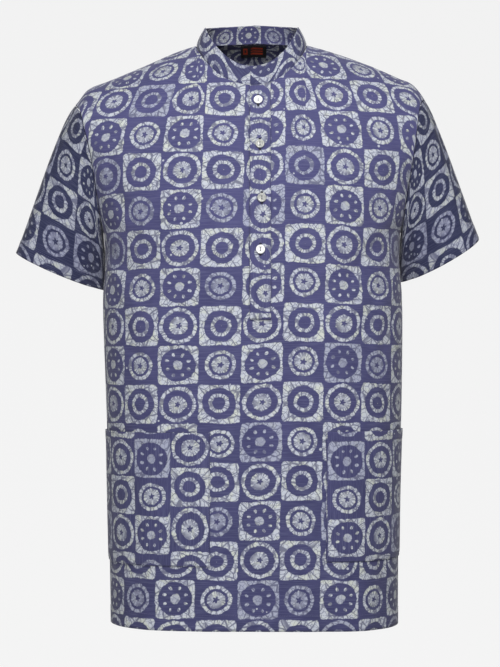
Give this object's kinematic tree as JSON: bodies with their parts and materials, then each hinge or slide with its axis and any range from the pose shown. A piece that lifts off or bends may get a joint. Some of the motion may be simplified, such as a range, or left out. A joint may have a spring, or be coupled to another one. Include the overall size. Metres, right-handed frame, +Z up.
{
  "type": "short kurta",
  "caption": "Hollow short-sleeved cotton kurta with a band collar, a buttoned front placket and patch pockets, filled out as worn.",
  "frame": {"origin": "middle of the line between the two shoulder ends of the neck seam, where the wearer's neck and shoulders hold the garment up", "axes": "+Z up along the wearer's spine, -Y out of the chest, +X to the right of someone facing the front"},
  "size_m": [0.5992, 0.252, 0.7811],
  "materials": {
    "printed_cotton": "plain woven cotton, wax resist print in indigo blue and off-white",
    "label_weave": "damask woven label, black with an orange-red border",
    "button_shell": "pearly shell-look buttons, two of them greyer"
  },
  "bodies": {
    "root": {"front": "printed_cotton", "back": "printed_cotton", "sleeve_left": "printed_cotton", "sleeve_right": "printed_cotton", "collar_band": "printed_cotton", "placket_upper": "printed_cotton", "placket_under": "printed_cotton", "pocket_left": "printed_cotton", "pocket_right": "printed_cotton", "neck_label": "label_weave", "button_1": "button_shell", "button_2": "button_shell", "button_3": "button_shell", "button_4": "button_shell"}
  },
  "joints": []
}
